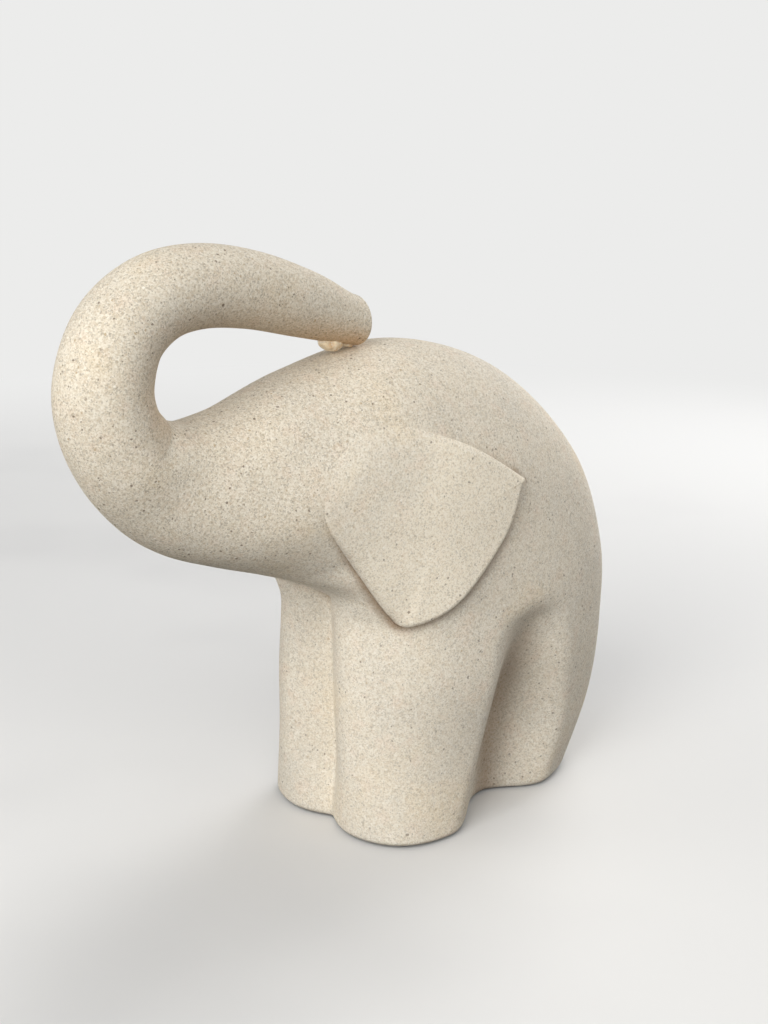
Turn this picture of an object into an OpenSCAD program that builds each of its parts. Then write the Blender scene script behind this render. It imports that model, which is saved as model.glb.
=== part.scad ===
// Elephant figurine in cast sandstone, standing with its trunk curled back over the head.
// Millimetres, +Z up. The elephant faces -Y and its left side is +X.
// The origin is on the table, in the middle of the four feet.
//
// The body and the trunk are lofts. A side view gives each one an outer line and an
// inner line, and every ring of the loft spans the two lines square to the middle plane.
// A point in the side view is [y, z].

/* [Feet and legs] */
// Front edge of the feet, along Y
foot_front_y = -74.5; // [-90:0.5:-60]
// Back edge of the feet, along Y
foot_back_y = 66.5; // [60:0.5:85]
// Width over the feet
foot_w = 95.5; // [80:0.5:110]
// Front of the shins
shin_front = [-76.5, 36]; // [-120:0.5:120]
// Back of the shins
shin_back = [82.5, 39]; // [-120:0.5:120]
// Width over the shins
shin_w = 98.5; // [85:0.5:115]
// Front of the thighs
thigh_front = [-78, 71]; // [-120:0.5:120]
// Back of the thighs
thigh_back = [86.5, 78]; // [-120:0.5:120]
// Width over the thighs
thigh_w = 108; // [90:0.5:120]
// Depth of the groove between the front legs at the floor
foot_groove = 7; // [4:0.5:14]
// Depth of that groove further up
front_groove = 12; // [4:0.5:14]
// Depth of the groove between the hind legs
hind_groove = 10; // [4:0.5:14]
// Width over each groove, as a share of the body's width
groove_spread = 0.5; // [0.3:0.05:0.7]
// How round the bottom of a groove is, from 0, sharp
groove_softness = 0.06; // [0:0.01:0.3]

/* [Hollow between front and hind leg] */
// Each hollow is its place on the side, from 0 at the middle to 1 at the front edge, its
// depth as a share of the half width, and its reach towards the front and the back.
// A taper is the share by which the front legs stand wider than the hind legs.
// Hollow at the feet
foot_hollow = [-0.1, 0.28, 0.7, 0.48]; // [-0.3:0.01:1]
// Taper at the feet
foot_taper = 0.2; // [0:0.01:0.3]
// Hollow at the shins
shin_hollow = [-0.07, 0.34, 0.54, 0.42]; // [-0.3:0.01:1]
// Taper at the shins
shin_taper = 0.09; // [0:0.01:0.3]
// Hollow at the thighs
thigh_hollow = [-0.02, 0.31, 0.4, 0.34]; // [-0.3:0.01:1]
// Taper at the thighs
thigh_taper = 0.03; // [0:0.01:0.3]
// Hollow at the chin's height
chin_hollow = [0.05, 0, 0.3, 0.3]; // [-0.3:0.01:1]
// Rounding of the feet's lower edge
foot_round = 3; // [1:0.5:5]

/* [Body and head] */
// Chin, where the head leaves the front legs
chin_front = [-79, 106]; // [-200:0.5:200]
// Rump at the chin's height
chin_back = [87, 112.5]; // [-200:0.5:200]
// Width at the chin
chin_w = 108; // [90:1:120]
// Throat under the jaw
throat_front = [-83, 118]; // [-200:0.5:300]
// Upper rump
throat_back = [68, 161]; // [-200:0.5:300]
// Width at the throat and rump
throat_w = 103; // [85:1:115]
// Underside of the jaw
jaw_front = [-107.5, 128]; // [-200:0.5:300]
// Back behind its crest
jaw_back = [26, 201]; // [-200:0.5:300]
// Width at the jaw
jaw_w = 96.5; // [80:1:110]
// Underside of the cheeks
cheek_front = [-131.5, 136.5]; // [-200:0.5:300]
// Crest of the back
cheek_back = [-27.5, 218.5]; // [-200:0.5:300]
// Width at the cheeks
cheek_w = 84; // [70:1:100]
// Underside of the face
face_front = [-153, 145.5]; // [-220:0.5:300]
// Nape
face_back = [-79, 213]; // [-220:0.5:300]
// Width at the face
face_w = 60; // [50:1:75]
// Underside where the face turns into the trunk
brow_front = [-171, 158.5]; // [-220:0.5:300]
// Forehead
brow_back = [-121.5, 201]; // [-220:0.5:300]
// Width at the forehead
brow_w = 43; // [36:1:50]
// Roundness of the body's sections, where 2 is an ellipse
body_round = 2.5; // [2.1:0.1:3]
// Roundness of the head's sections
head_round = 2.05; // [2:0.05:2.4]
// Roundness of the legs' sections, where more is squarer
leg_round = 3.4; // [2.4:0.1:4.4]
// Roundness of the cheeks, in front of the middle of the side
cheek_round = 3.4; // [2:0.1:4]
// Share of a row over which the underside of the head bends into the trunk
joint_lead = 0.1; // [0.05:0.05:0.8]
// Length over which the nape bends into the trunk
nape_turn = 8; // [4:0.5:14]

/* [Trunk] */
// Middle of the trunk at its joint with the head
trunk_root = [-169, 188]; // [-220:0.5:300]
// Diameter at the joint
trunk_root_d = 40.4; // [34:0.2:46]
// Middle of the trunk above the joint
trunk_rise = [-176, 204.5]; // [-220:0.5:300]
// Diameter above the joint
trunk_rise_d = 39; // [32:0.5:44]
// Foremost point of the curl
trunk_front = [-176, 220]; // [-220:0.5:300]
// Diameter at the foremost point
trunk_front_d = 37.8; // [30:0.2:42]
// Upper front of the curl
trunk_bend = [-168.5, 236.5]; // [-220:0.5:300]
// Diameter at the upper front
trunk_bend_d = 36; // [28:0.5:40]
// Start of the curl's top
trunk_crown = [-152.5, 247.5]; // [-220:0.5:300]
// Diameter at the start of the top
trunk_crown_d = 34.5; // [28:0.5:38]
// Top of the curl
trunk_top = [-132, 250.5]; // [-220:0.5:300]
// Diameter at the top
trunk_top_d = 33.2; // [26:0.2:38]
// Start of the run down to the back
trunk_fall = [-107.5, 247]; // [-220:0.5:300]
// Diameter at the start of the run down
trunk_fall_d = 31.4; // [24:0.2:36]
// Middle of the run down
trunk_dip = [-81, 239]; // [-220:0.5:300]
// Diameter in the run down
trunk_dip_d = 28.2; // [20:0.2:32]
// Middle of the tip's end, over the crest of the back
trunk_tip = [-52.5, 229]; // [-220:0.5:300]
// Diameter at the tip
trunk_tip_d = 21.8; // [18:0.2:25]
// How far the tip's rounded end stands past its last section
tip_dome = 1.9; // [1:0.1:8]
// Diameter of the flat middle of the tip's end
tip_flat_d = 16; // [6:0.5:18]
// How far the end is turned up from the trunk's run, in degrees
tip_tilt = 20; // [0:1:25]

/* [Ears] */
// Each point of an ear is [y, z, share], with its share of the ear's full height over the head.
// Upper side of the rear corner
ear_corner_top = [-3.5, 163, 1]; // [-120:0.5:200]
// Rear corner of the ear
ear_corner = [-2, 158.5, 1]; // [-120:0.5:200]
// Rear edge, below the corner
ear_rear = [-13.5, 137.5, 1]; // [-120:0.5:200]
// Rear edge, lower down
ear_rear_low = [-39.5, 113.5, 1]; // [-120:0.5:200]
// Lowest point of the ear
ear_bottom = [-59, 104.5, 0.9]; // [-120:0.5:200]
// Front edge, above the lowest point
ear_front_low = [-67, 109.5, 0.8]; // [-120:0.5:200]
// Front edge, halfway up
ear_front_mid = [-84, 134, 0.5]; // [-120:0.5:200]
// Foremost point of the ear
ear_front = [-101, 159.5, 0.05]; // [-120:0.5:200]
// Front of the upper edge
ear_top_front = [-93, 181, 0]; // [-120:0.5:200]
// Highest point of the ear
ear_top = [-69, 192, 0.12]; // [-120:0.5:200]
// Rear of the upper edge
ear_top_rear = [-33, 181, 0.85]; // [-120:0.5:200]
// Share of the full height in the middle of the ear
ear_middle_share = 0.76; // [0.2:0.02:1]
// Full height of the ear over the head, at its rear corner
ear_free_h = 5.5; // [3.5:0.5:7]
// Height where the ear runs into the head
ear_root_h = 0.8; // [0.6:0.1:2]
// Least thickness of the ear
ear_thin = 0.6; // [0.5:0.1:1.5]
// Bed of adhesive between an ear and the head
ear_bed = 0.3; // [0.2:0.05:0.5]

/* [Dowels, pins and pad] */
// Diameter of the trunk's dowels
dowel_d = 5; // [4:0.5:6]
// Length of a dowel
dowel_len = 32; // [24:1:40]
// Distance between the two dowels
dowel_pitch = 17; // [12:1:20]
// Diameter of an ear pin
pin_d = 3; // [2:0.5:4]
// Depth of an ear pin in the head
pin_in_head = 9; // [6:0.5:12]
// Depth of an ear pin in the ear
pin_in_ear = 2; // [1.5:0.1:2.5]
// Place of the front pin
pin_front = [-54, 138]; // [-120:0.5:200]
// Place of the rear pin
pin_rear = [-26, 154]; // [-120:0.5:200]
// Gap round a dowel or pin in its hole
hole_gap = 0.15; // [0.05:0.05:0.3]
// Thickness of the felt under the feet
felt_t = 1; // [0.6:0.1:2]
// How far the felt stays inside the feet's lower edge
felt_inset = 4; // [3:0.5:8]
// Length of the adhesive bead under the trunk's tip
bead_len = 13; // [8:1:26]
// Width of that bead
bead_w = 13; // [8:1:20]
// Height of that bead
bead_h = 9; // [6:0.5:14]

/* [Fineness] */
// Rings along the body
body_rings = 58; // [30:2:64]
// Points round a ring of the body
body_points = 64; // [32:4:72]
// Rings along the trunk
trunk_rings = 50; // [24:2:56]
// Points round a ring of the trunk
trunk_points = 32; // [16:4:40]
// Points round an ear
ear_points = 55; // [33:11:66]

/* [Hidden] */

stone = [0.86, 0.82, 0.74];
steel = [0.62, 0.63, 0.65];
amber = [0.85, 0.62, 0.33];
felt_grey = [0.16, 0.16, 0.17];

// ---------------------------------------------------------------- curves

function mix(a, b, u) = a + (b - a) * u;
function smooth(u) = let (v = min(max(u, 0), 1)) v * v * (3 - 2 * v);
// Soft hump: 1 at 0, level at 0, and nothing past 1
function hump(u) = abs(u) < 1 ? (1 + cos(180 * u)) / 2 : 0;
// Worn groove: 1 at 0, nothing past 1, and a bottom as round as the softness
function groove(u) =
    let (
        away = sqrt(u * u + groove_softness * groove_softness) - groove_softness,
        edge = sqrt(1 + groove_softness * groove_softness) - groove_softness,
        left = max(1 - away / edge, 0)
    )
    left * left;

// Smooth curve through the rows of a list; t counts rows. The row past the last one is
// after, and the row before the first one is before, or runs straight back.
function along(rows, after, t, before = undef) =
    let (
        last = len(rows) - 1,
        i = min(floor(t), last - 1),
        u = t - i,
        b = rows[i],
        c = rows[i + 1],
        a = i > 0 ? rows[i - 1] : is_undef(before) ? 2 * b - c : before,
        d = i == last - 1 ? after : rows[i + 2]
    )
    0.5 * (2 * b + (c - a) * u + (2 * a - 5 * b + 4 * c - d) * u * u
        + (3 * b - a - 3 * c + d) * u * u * u);

function past(rows) = 2 * rows[len(rows) - 1] - rows[len(rows) - 2];
// The row that carries a list back on the bend of its first three rows
function bent_before(rows) = 3 * rows[0] - 3 * rows[1] + rows[2];

// ---------------------------------------------------------------- trunk line

// A row of the trunk is [y, z, radius]
function trunk_row_of(place, d) = [place[0], place[1], d / 2];
trunk_rows = [
    trunk_row_of(trunk_root, trunk_root_d),
    trunk_row_of(trunk_rise, trunk_rise_d),
    trunk_row_of(trunk_front, trunk_front_d),
    trunk_row_of(trunk_bend, trunk_bend_d),
    trunk_row_of(trunk_crown, trunk_crown_d),
    trunk_row_of(trunk_top, trunk_top_d),
    trunk_row_of(trunk_fall, trunk_fall_d),
    trunk_row_of(trunk_dip, trunk_dip_d),
    trunk_row_of(trunk_tip, trunk_tip_d)
];
trunk_last = len(trunk_rows) - 1;
function trunk_row(t) = along(trunk_rows, past(trunk_rows), t, bent_before(trunk_rows));

// Direction that the section at t faces in the side view: the trunk's run, turned up at the tip
line_step = 0.01;
function trunk_run(t) =
    let (
        a = trunk_row(max(t - line_step, 0)),
        b = trunk_row(min(t + line_step, trunk_last)),
        angle = atan2(b[1] - a[1], b[0] - a[0]) + tip_tilt * smooth(t - trunk_last + 1)
    )
    [cos(angle), sin(angle)];
// Direction from the trunk's middle to the outside of its curl
function trunk_outward(t) = let (run = trunk_run(t)) [-run[1], run[0]];
function trunk_middle(t) = let (row = trunk_row(t)) [row[0], row[1]];

// The trunk's ring as a row of the body: outer point, inner point, half width
function trunk_as_body_row(t) =
    let (
        middle = trunk_middle(t),
        out = trunk_outward(t) * trunk_row(t)[2]
    )
    [middle[0] + out[0], middle[1] + out[1], middle[0] - out[0], middle[1] - out[1], trunk_row(t)[2]];

// ---------------------------------------------------------------- body lines

function body_row_of(front, back, w) = [front[0], front[1], back[0], back[1], w / 2];
joint_row = trunk_as_body_row(0);
body_rows = [
    body_row_of([foot_front_y, felt_t], [foot_back_y, felt_t], foot_w),
    body_row_of(shin_front, shin_back, shin_w),
    body_row_of(thigh_front, thigh_back, thigh_w),
    body_row_of(chin_front, chin_back, chin_w),
    body_row_of(throat_front, throat_back, throat_w),
    body_row_of(jaw_front, jaw_back, jaw_w),
    body_row_of(cheek_front, cheek_back, cheek_w),
    body_row_of(face_front, face_back, face_w),
    body_row_of(brow_front, brow_back, brow_w),
    joint_row
];
body_last = len(body_rows) - 1;
shin_index = 1;
chin_index = 3;
brow_row = body_rows[body_last - 1];
// Past the joint both lines follow the trunk, at the pace that suits the last row
function outer_of(row) = [row[0], row[1]];
function inner_of(row) = [row[2], row[3]];
body_after =
    let (
        step = trunk_as_body_row(joint_lead) - joint_row,
        outer = 2 * norm(outer_of(joint_row - brow_row)) / norm(outer_of(step)),
        inner = 2 * nape_turn / norm(inner_of(step))
    )
    brow_row + [outer * step[0], outer * step[1], inner * step[2], inner * step[3], outer * step[4]];
function body_row(t) = along(body_rows, body_after, t);

// Share of the leg's shape, of the grooves and of the trunk's circle at t
function leg_share(t) = smooth(1 - t / chin_index);
function groove_share(t) = smooth(chin_index + 0.5 - t);
function front_depth(t) = mix(foot_groove, front_groove, smooth(t));
function joint_share(t) = smooth(t - body_last + 1);
// The body's sections turn into the head's over two rows above the throat
function head_share(t) = smooth((t - chin_index - 0.5) / 2);
// The cheeks are fullest just below the throat's row, and only ahead of the middle
cheek_place = 3.8;
cheek_reach = 1.1;
function cheek_share(t, q) = q > 0 ? hump((t - cheek_place) / cheek_reach) : 0;
function roundness(t, q) =
    let (
        plain = mix(body_round, head_round, head_share(t)),
        full = mix(plain, cheek_round, cheek_share(t, q))
    )
    mix(mix(full, leg_round, leg_share(t)), 2, joint_share(t));

// A row of the hollow is [place, depth, reach ahead, reach behind, taper]
hollow_rows = [
    concat(foot_hollow, foot_taper),
    concat(shin_hollow, shin_taper),
    concat(thigh_hollow, thigh_taper),
    concat(chin_hollow, 0)
];
// Half width left at q, which runs from -1 at the back edge to 1 at the front edge
function flank(t, q) =
    let (
        row = along(hollow_rows, hollow_rows[chin_index], min(t, chin_index)),
        away = q - row[0],
        reach = away > 0 ? row[2] : row[3]
    )
    (1 + row[4] * q) * (1 - max(row[1], 0) * hump(away / reach));

// Point of the body's ring at t and angle, drawn in by inset
function body_point(t, angle, inset = 0) =
    let (
        row = body_row(t),
        front = [row[0], row[1]],
        back = [row[2], row[3]],
        half = norm(front - back) / 2,
        ahead = (front - back) / (2 * half),
        n = roundness(t, cos(angle)),
        reach = pow(pow(abs(cos(angle)), n) + pow(abs(sin(angle)), n), -1 / n),
        q = reach * cos(angle),
        x = row[4] * reach * sin(angle) * flank(t, q),
        depth = q > 0 ? front_depth(t) : hind_groove,
        cut = depth * groove_share(t) * groove(x / (groove_spread * row[4])),
        shrink = 1 - inset / row[4],
        side = (front + back) / 2 + ahead * (half - inset - cut) * q
    )
    [x * shrink, side[0], side[1]];

// Half width of the body at a place in the side view, by halving the span of rows
function row_side(t, place) =
    let (row = body_row(t))
    (row[0] - row[2]) * (place[1] - row[3]) - (row[1] - row[3]) * (place[0] - row[2]);
halvings = 16;
function row_at(place, low = shin_index, high = body_last, left = halvings) =
    let (middle = (low + high) / 2)
    left == 0
        ? middle
        : row_side(middle, place) * row_side(low, place) > 0
            ? row_at(place, middle, high, left - 1)
            : row_at(place, low, middle, left - 1);
function body_side_x(place) =
    let (
        t = row_at(place),
        row = body_row(t),
        front = [row[0], row[1]],
        back = [row[2], row[3]],
        q = 2 * (place - (front + back) / 2) * (front - back) / pow(norm(front - back), 2),
        n = roundness(t, q)
    )
    row[4] * pow(max(1 - pow(abs(q), n), 0), 1 / n) * flank(t, q);

// ---------------------------------------------------------------- lofts

// Walls between rings of n points, and the two flat ends
function loft_faces(rings, n) = concat(
    [for (k = [0 : rings - 2], j = [0 : n - 1])
        let (a = k * n + j, b = k * n + (j + 1) % n)
        each [[a, a + n, b + n], [a, b + n, b]]],
    [[for (j = [0 : n - 1]) j]],
    [[for (j = [n - 1 : -1 : 0]) (rings - 1) * n + j]]
);

// The lower edge is a quarter round of this many steps
edge_steps = 3;
module body_blank() {
    n = body_points;
    // Rise of the quarter round, as a share of the first row's height
    first = shin_front[1] - felt_t;
    edge = [for (s = [0 : edge_steps - 1])
        let (a = 90 * s / edge_steps)
        [foot_round * (1 - cos(a)) / first, foot_round * (1 - sin(a))]];
    start = foot_round / first;
    walls = [for (k = [0 : body_rings - 1])
        [mix(start, body_last, k / (body_rings - 1)), 0]];
    levels = concat(edge, walls);
    points = [for (level = levels, j = [0 : n - 1]) body_point(level[0], 360 * j / n, level[1])];
    polyhedron(points, loft_faces(len(levels), n), convexity = 8);
}

dome_steps = 5;
module trunk_blank() {
    n = trunk_points;
    // Each level is [t, how far past the section, share of its radius]
    walls = [for (k = [0 : trunk_rings - 1]) [trunk_last * k / (trunk_rings - 1), 0, 1]];
    dome = [for (s = [1 : dome_steps])
        let (a = 90 * s / dome_steps)
        [trunk_last, tip_dome * sin(a), mix(tip_flat_d / trunk_tip_d, 1, cos(a))]];
    levels = concat(walls, dome);
    points = [for (level = levels, j = [0 : n - 1])
        let (
            t = level[0],
            r = trunk_row(t)[2] * level[2],
            angle = 360 * j / n,
            side = trunk_middle(t) + trunk_run(t) * level[1] + trunk_outward(t) * r * cos(angle)
        )
        [r * sin(angle), side[0], side[1]]];
    polyhedron(points, loft_faces(len(levels), n), convexity = 8);
}

// ---------------------------------------------------------------- ears

function ear_height(share) = mix(ear_root_h, ear_free_h, share);
// A row of an ear is [y, z, x of its face there]
function ear_row_of(point) =
    let (place = [point[0], point[1]])
    concat(place, body_side_x(place) + ear_height(point[2]));
ear_rows = [for (point = [
    ear_corner_top, ear_corner, ear_rear, ear_rear_low, ear_bottom, ear_front_low,
    ear_front_mid, ear_front, ear_top_front, ear_top, ear_top_rear
]) ear_row_of(point)];
ear_count = len(ear_rows);
// The outline is closed, and t goes round it once from 0 to 1
function ear_edge(t) =
    along(concat(ear_rows, [ear_rows[0]]), ear_rows[1], t * ear_count, ear_rows[ear_count - 1]);
function ear_sum(i = 0) = i < ear_count ? ear_rows[i] + ear_sum(i + 1) : [0, 0, 0];
ear_centre = ear_sum() / ear_count;
ear_middle = ear_row_of([ear_centre[0], ear_centre[1], ear_middle_share]);
// Point of the ear's domed face, a share of the way from the middle to a row of the outline
function ear_face(edge, share) =
    let (way = edge - ear_middle)
    ear_middle + [way[0] * share, way[1] * share, way[2] * share * share];
// Steps from the ear's middle to its edge, as [share of the way, share of the thickness]
ear_steps = [[0.4, 1], [0.7, 1], [0.92, 1], [1, 0.7]];

module ear_blank() {
    n = ear_points;
    m = len(ear_steps);
    edge = [for (j = [0 : n - 1]) ear_edge(j / n)];
    rows = concat([ear_middle], [for (s = ear_steps, j = [0 : n - 1]) ear_face(edge[j], s[0])]);
    shares = concat([1], [for (s = ear_steps, j = [0 : n - 1]) s[1]]);
    inner = [for (row = rows) [body_side_x([row[0], row[1]]) + ear_bed, row[0], row[1]]];
    outer = [for (i = [0 : len(rows) - 1])
        inner[i] + [max(rows[i][2] - inner[i][0], ear_thin) * shares[i], 0, 0]];
    count = len(rows);
    // The edge runs clockwise as seen from the left side
    sheet = concat(
        [for (j = [0 : n - 1]) [0, 1 + j, 1 + (j + 1) % n]],
        [for (k = [0 : m - 2], j = [0 : n - 1])
            let (a = 1 + k * n + j, b = 1 + k * n + (j + 1) % n)
            each [[a, a + n, b + n], [a, b + n, b]]]
    );
    rim = [for (j = [0 : n - 1])
        let (a = 1 + (m - 1) * n + j, b = 1 + (m - 1) * n + (j + 1) % n)
        each [[a, a + count, b + count], [a, b + count, b]]];
    faces = concat(
        [for (f = sheet) [f[0], f[2], f[1]]],
        [for (f = sheet) [f[0] + count, f[1] + count, f[2] + count]],
        [for (f = rim) [f[0], f[2], f[1]]]
    );
    polyhedron(concat(inner, outer), faces, convexity = 6);
}

// ---------------------------------------------------------------- dowels and pins

dowel_end_gap = 0.5;
// Puts its children at the joint, +Z along the trunk, at a distance to the outside of the curl
module at_joint(outward) {
    run = trunk_run(0);
    place = trunk_middle(0) + trunk_outward(0) * outward;
    translate([0, place[0], place[1]])
    rotate([atan2(-run[0], run[1]), 0, 0])
    children();
}
module dowel(outward, gap, end_gap) {
    at_joint(outward)
    cylinder(h = dowel_len + 2 * end_gap, d = dowel_d + 2 * gap, center = true, $fn = 48);
}
module dowel_holes() {
    for (outward = [-dowel_pitch / 2, dowel_pitch / 2]) dowel(outward, hole_gap, dowel_end_gap);
}
module pin(place, gap, end_gap) {
    surface = body_side_x(place);
    translate([surface - pin_in_head - end_gap, place[0], place[1]])
    rotate([0, 90, 0])
    cylinder(h = pin_in_head + ear_bed + pin_in_ear + 2 * end_gap, d = pin_d + 2 * gap, $fn = 40);
}
module pin_holes() {
    for (place = [pin_front, pin_rear]) pin(place, hole_gap, hole_gap);
}
module on_both_sides() {
    children();
    mirror([1, 0, 0]) children();
}

// ---------------------------------------------------------------- pieces

module body() {
    color(stone)
    difference() {
        body_blank();
        dowel_holes();
        on_both_sides() pin_holes();
    }
}

module trunk() {
    color(stone)
    difference() {
        trunk_blank();
        dowel_holes();
    }
}

module ear() {
    color(stone)
    difference() {
        ear_blank();
        pin_holes();
    }
}
module left_ear() {
    ear();
}
module right_ear() {
    mirror([1, 0, 0]) ear();
}

module trunk_dowel_upper() {
    color(steel) dowel(-dowel_pitch / 2, 0, 0);
}
module trunk_dowel_lower() {
    color(steel) dowel(dowel_pitch / 2, 0, 0);
}
module left_ear_pin_front() {
    color(steel) pin(pin_front, 0, 0);
}
module left_ear_pin_rear() {
    color(steel) pin(pin_rear, 0, 0);
}
module right_ear_pin_front() {
    color(steel) mirror([1, 0, 0]) pin(pin_front, 0, 0);
}
module right_ear_pin_rear() {
    color(steel) mirror([1, 0, 0]) pin(pin_rear, 0, 0);
}

// Place of the bead, in rows of the trunk before the tip
bead_back = 0.34;
// Bead of adhesive that fills the wedge between the tip's underside and the back
module tip_bead() {
    t = trunk_last - bead_back;
    under = trunk_middle(t) - trunk_outward(t) * trunk_row(t)[2];
    run = trunk_run(t);
    color(amber)
    resize([0, 0, 0])
    difference() {
        translate([0, under[0], under[1]])
        rotate([atan2(run[1], run[0]), 0, 0])
        scale([bead_w, bead_len, bead_h])
        sphere(d = 1, $fn = 40);
        body_blank();
        trunk_blank();
    }
}

// Sheet of felt cut to the outline of the feet
module base_felt() {
    n = body_points;
    outline = [for (j = [0 : n - 1])
        let (p = body_point(0, 360 * j / n, felt_inset + foot_round))
        [p[0], p[1]]];
    color(felt_grey)
    linear_extrude(felt_t) polygon(outline);
}

body();
trunk();
left_ear();
right_ear();
trunk_dowel_upper();
trunk_dowel_lower();
left_ear_pin_front();
left_ear_pin_rear();
right_ear_pin_front();
right_ear_pin_rear();
tip_bead();
base_felt();
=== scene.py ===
"""Elephant figurine in cast sandstone, its trunk curled back to rest on its own back.

The body, the trunk and the two ears are separate castings, bedded together with
adhesive over steel dowels and pins, and a felt pad sits under the feet.
Sizes are in millimetres, as on the pattern maker's drawing, and become metres where
a mesh is made. The elephant faces -Y and its left side is +X.
"""

import logging
import math
from dataclasses import dataclass, field
from enum import Enum
from typing import Callable, ClassVar, Sequence

import bpy
import numpy as np
from bpy.types import Material, Node, NodeSocket, NodeTree, Object
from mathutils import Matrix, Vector


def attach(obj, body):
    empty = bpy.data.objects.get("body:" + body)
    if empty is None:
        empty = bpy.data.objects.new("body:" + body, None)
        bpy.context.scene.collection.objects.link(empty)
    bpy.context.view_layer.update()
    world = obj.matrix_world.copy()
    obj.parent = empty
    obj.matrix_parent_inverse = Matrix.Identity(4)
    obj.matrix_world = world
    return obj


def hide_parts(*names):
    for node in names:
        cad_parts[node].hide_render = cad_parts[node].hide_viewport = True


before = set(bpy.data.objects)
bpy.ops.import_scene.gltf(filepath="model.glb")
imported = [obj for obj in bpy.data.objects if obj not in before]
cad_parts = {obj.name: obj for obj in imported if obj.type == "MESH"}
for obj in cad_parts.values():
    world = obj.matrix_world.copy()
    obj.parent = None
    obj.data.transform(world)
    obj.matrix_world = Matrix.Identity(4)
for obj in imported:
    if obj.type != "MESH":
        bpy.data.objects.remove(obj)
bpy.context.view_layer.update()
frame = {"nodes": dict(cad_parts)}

log = logging.getLogger("elephant")

MM = 0.001
BODY = "root"
# Distance, in stations, of the rings that give the normals at the joint of body and trunk
JOINT_STEP = 0.02
Array = np.ndarray
Pair = tuple[float, float]
Colour = tuple[float, float, float, float]
Place = tuple[float, float, float]
Rows = Sequence[tuple[float, ...]]
Sockets = bpy.types.bpy_prop_collection


# ---- curves


def mix(a: Array, b: Array, u: Array) -> Array:
    """Returns the value a share u of the way from a to b."""
    return a + (b - a) * u


def ring_angles(count: int) -> Array:
    """Returns places round a ring, in radians."""
    return 2.0 * np.pi * np.arange(count) / count


def quarter_turn(steps: int) -> Array:
    """Returns angles from 0 to a quarter turn, both included, in radians."""
    return np.pi / 2.0 * np.arange(steps + 1) / steps


def smooth(u: Array) -> Array:
    """Returns a soft step from 0 to 1 while u goes from 0 to 1."""
    v = np.clip(u, 0.0, 1.0)
    return v * v * (3.0 - 2.0 * v)


def hump(u: Array) -> Array:
    """Returns a soft hump: 1 at 0, level there, and nothing past 1."""
    return np.where(np.abs(u) < 1.0, (1.0 + np.cos(np.pi * np.clip(u, -1.0, 1.0))) / 2.0, 0.0)


def groove(u: Array, softness: float) -> Array:
    """Returns the section of a worn groove.

    Args:
        u: place across the groove, 0 in the middle and 1 at its edges.
        softness: how round the bottom is, from 0, sharp.

    Returns:
        The share of the groove's depth at each place.
    """
    away = np.sqrt(u * u + softness * softness) - softness
    edge = math.sqrt(1.0 + softness * softness) - softness
    return np.clip(1.0 - away / edge, 0.0, 1.0) ** 2


def past(rows: Array) -> Array:
    """Returns the row that carries a list of rows straight on."""
    return 2.0 * rows[-1] - rows[-2]


def bent_before(rows: Array) -> Array:
    """Returns the row that carries a list of rows back on the bend of its first three."""
    return 3.0 * rows[0] - 3.0 * rows[1] + rows[2]


def along(rows: Array, after: Array, t: Array, before: Array | None = None) -> Array:
    """Follows the smooth curve through a list of rows.

    Args:
        rows: one row of numbers for each station.
        after: the row past the last one.
        t: places along the list, counted in rows.
        before: the row before the first one, or None to run straight back.

    Returns:
        One row for each place.
    """
    t = np.asarray(t, float)
    every = np.vstack([2.0 * rows[0] - rows[1] if before is None else before, rows, after])
    i = np.clip(np.floor(t).astype(int), 0, len(rows) - 2)
    u = (t - i)[..., None]
    a, b, c, d = every[i], every[i + 1], every[i + 2], every[i + 3]
    return 0.5 * (
        2.0 * b
        + (c - a) * u
        + (2.0 * a - 5.0 * b + 4.0 * c - d) * u**2
        + (3.0 * b - a - 3.0 * c + d) * u**3
    )


def linear(level: float) -> float:
    """Returns a display level from 0 to 255 as linear light."""
    s = level / 255.0
    return s / 12.92 if s <= 0.04045 else ((s + 0.055) / 1.055) ** 2.4


def colour(red: float, green: float, blue: float) -> Colour:
    """Returns a display colour, each part from 0 to 255, as a linear colour."""
    return (linear(red), linear(green), linear(blue), 1.0)


# ---- shapes


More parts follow.
